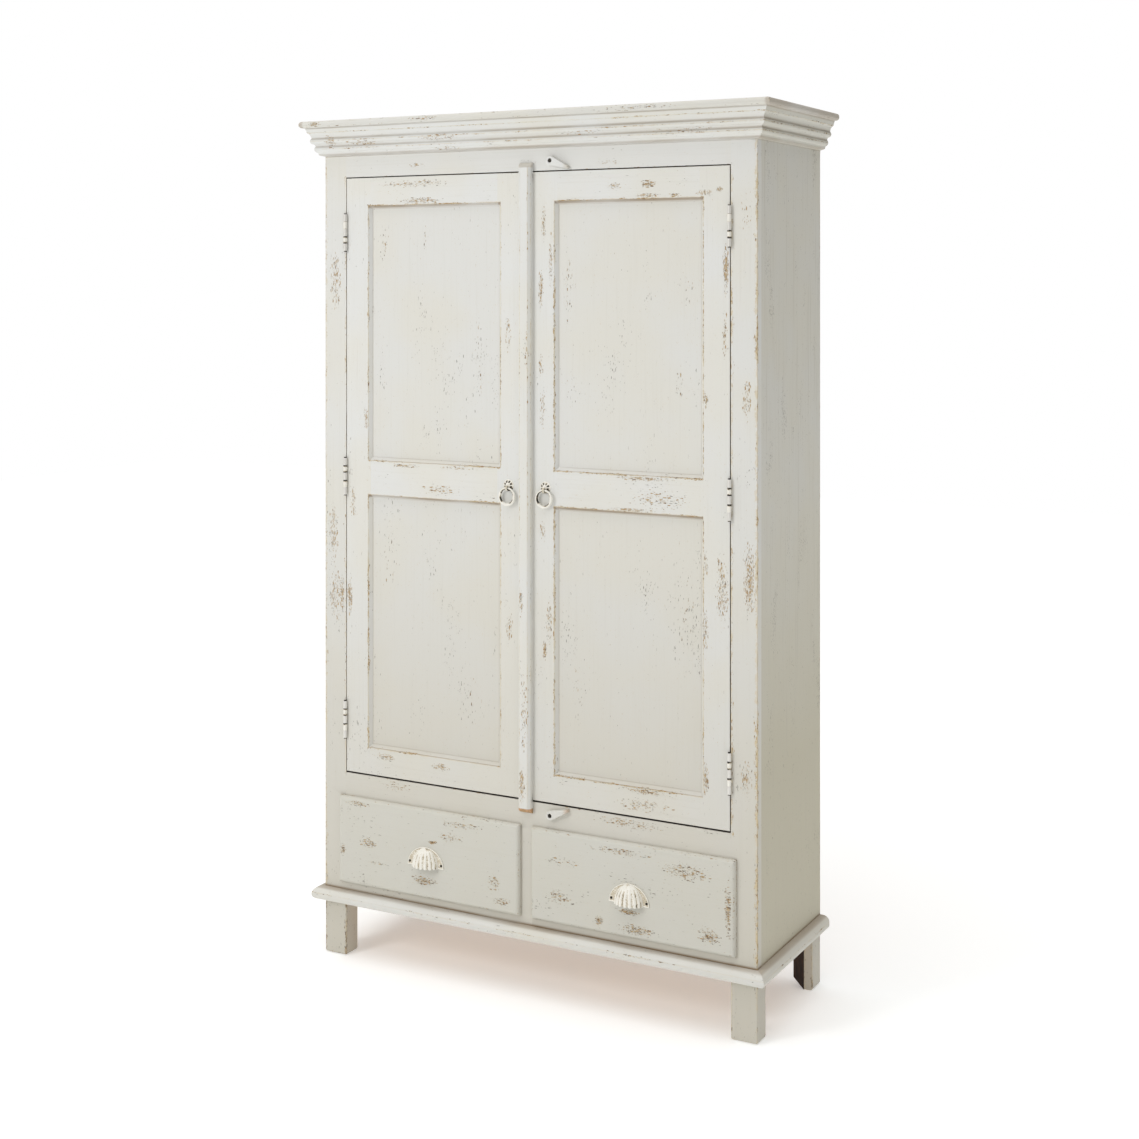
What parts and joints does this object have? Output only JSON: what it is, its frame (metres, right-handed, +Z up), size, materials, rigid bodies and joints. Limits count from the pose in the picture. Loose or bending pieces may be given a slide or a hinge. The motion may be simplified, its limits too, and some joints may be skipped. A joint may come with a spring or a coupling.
{
  "type": "armoire",
  "caption": "Painted armoire on short legs: stepped cornice, panelled doors with a closing strip and ring pulls, and lipped drawers with shell cup pulls below.",
  "frame": {"origin": "on the floor, at the bottom centre of the whole object's box", "axes": "+Z up, +Y towards the back, +X to the right seen from the front; the doors and drawers face -Y"},
  "size_m": [1.212, 0.426, 2],
  "materials": {
    "painted_wood": "off-white paint, satin-matt, rubbed through at edges and chipped to bare wood in specks",
    "bare_wood": "unpainted planed pine, lightly aged",
    "dark_wood": "unpainted dark brown wood, rough",
    "painted_iron": "off-white paint over black iron, chipped at edges and in grooves",
    "screw_steel": "dark, dull steel"
  },
  "bodies": {
    "cabinet": {"back_planks": "bare_wood", "base_moulding_front": "painted_wood", "base_moulding_left": "painted_wood", "base_moulding_right": "painted_wood", "carcass_bottom": "bare_wood", "cornice_front": "painted_wood", "cornice_left": "painted_wood", "cornice_right": "painted_wood", "drawer_partition": "bare_wood", "drawer_runners": "bare_wood", "frame_bottom_rail": "painted_wood", "frame_drawer_stile": "painted_wood", "frame_hinge_screws": "screw_steel", "frame_middle_rail": "painted_wood", "frame_top_rail": "painted_wood", "front_legs": "painted_wood", "hinge_frame_leaves": "painted_iron", "hinge_pins": "painted_iron", "left_frame_stile": "painted_wood", "left_side": "painted_wood", "rear_leg_blocks": "dark_wood", "rear_legs": "painted_wood", "right_frame_stile": "painted_wood", "right_side": "painted_wood", "shelf_cleats": "bare_wood", "shelves": "bare_wood", "top_board": "painted_wood", "turn_button_screws": "screw_steel", "wardrobe_floor": "bare_wood"},
    "bottom_button": {"bottom_turn_button": "painted_wood"},
    "right_door": {"closing_strip": "painted_wood", "right_door_hinge_leaves": "painted_iron", "right_door_hinge_screws": "screw_steel", "right_door_hinge_stile": "painted_wood", "right_door_meeting_stile": "painted_wood", "right_door_panels": "painted_wood", "right_door_rails": "painted_wood", "right_ring_plate": "painted_iron"},
    "left_door": {"left_door_hinge_leaves": "painted_iron", "left_door_hinge_screws": "screw_steel", "left_door_hinge_stile": "painted_wood", "left_door_meeting_stile": "painted_wood", "left_door_panels": "painted_wood", "left_door_rails": "painted_wood", "left_ring_plate": "painted_iron"},
    "left_drawer_box": {"left_drawer_bottom": "bare_wood", "left_drawer_ends": "bare_wood", "left_drawer_front": "painted_wood", "left_drawer_pull": "painted_iron", "left_drawer_pull_screws": "screw_steel", "left_drawer_sides": "bare_wood"},
    "left_pull_ring": {"left_ring": "painted_iron"},
    "right_drawer_box": {"right_drawer_bottom": "bare_wood", "right_drawer_ends": "bare_wood", "right_drawer_front": "painted_wood", "right_drawer_pull": "painted_iron", "right_drawer_pull_screws": "screw_steel", "right_drawer_sides": "bare_wood"},
    "right_pull_ring": {"right_ring": "painted_iron"},
    "top_button": {"top_turn_button": "painted_wood"}
  },
  "joints": [
    {"name": "left_door_hinge", "type": "hinge", "parent": "cabinet", "child": "left_door", "pos_m": [-0.498, -0.1725, 1.15], "axis": [0, 0, -1], "range_deg": [0, 175]},
    {"name": "right_door_hinge", "type": "hinge", "parent": "cabinet", "child": "right_door", "pos_m": [0.498, -0.1725, 1.15], "axis": [0, 0, 1], "range_deg": [0, 175]},
    {"name": "left_drawer_slide", "type": "slide", "parent": "cabinet", "child": "left_drawer_box", "axis": [0, -1, 0], "range_m": [0, 0.3]},
    {"name": "right_drawer_slide", "type": "slide", "parent": "cabinet", "child": "right_drawer_box", "axis": [0, -1, 0], "range_m": [0, 0.3]},
    {"name": "top_button_turn", "type": "hinge", "parent": "cabinet", "child": "top_button", "pos_m": [0.0645, -0.1735, 1.8865], "axis": [0, 1, 0], "range_deg": [-50, 70]},
    {"name": "bottom_button_turn", "type": "hinge", "parent": "cabinet", "child": "bottom_button", "pos_m": [0.0645, -0.1735, 0.418], "axis": [0, -1, 0], "range_deg": [-50, 70]},
    {"name": "left_ring_swing", "type": "hinge", "parent": "left_door", "child": "left_pull_ring", "pos_m": [-0.048, -0.1755, 1.14575], "axis": [-1, 0, 0], "range_deg": [-7, 120]},
    {"name": "right_ring_swing", "type": "hinge", "parent": "right_door", "child": "right_pull_ring", "pos_m": [0.048, -0.1755, 1.14575], "axis": [-1, 0, 0], "range_deg": [-7, 120]}
  ]
}
